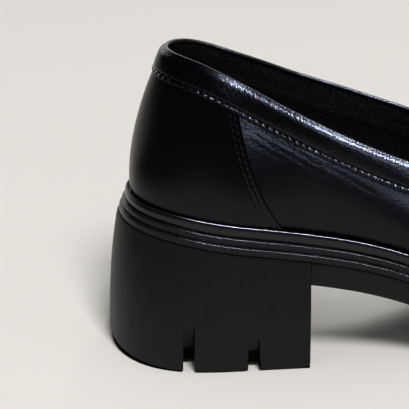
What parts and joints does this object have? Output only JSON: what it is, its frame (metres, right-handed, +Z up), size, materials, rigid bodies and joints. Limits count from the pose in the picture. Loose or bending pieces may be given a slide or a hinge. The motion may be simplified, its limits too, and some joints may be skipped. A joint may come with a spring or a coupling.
{
  "type": "heeled loafer",
  "caption": "Heeled slip-on loafer for the right foot, with a leather upper, collar band and apron on a ribbed midsole, lugged rubber outsole and block heel.",
  "frame": {"origin": "middle of the shoe's box on the floor it stands on", "axes": "+X from the heel towards the toe, +Y towards the big-toe side, +Z up"},
  "size_m": [0.2594, 0.0922, 0.1137],
  "materials": {
    "upper_leather": "smooth black calf with a soft polish",
    "sock_leather": "matt black lining leather",
    "sole_rubber": "matt moulded black rubber",
    "edge_rubber": "satin black rubber with a glossy bead"
  },
  "bodies": {
    "root": {"outsole": "sole_rubber", "heel_block": "sole_rubber", "midsole": "edge_rubber", "insole": "sock_leather", "upper": "upper_leather", "counter_panel": "upper_leather", "collar_band": "upper_leather", "apron": "upper_leather"}
  },
  "joints": []
}
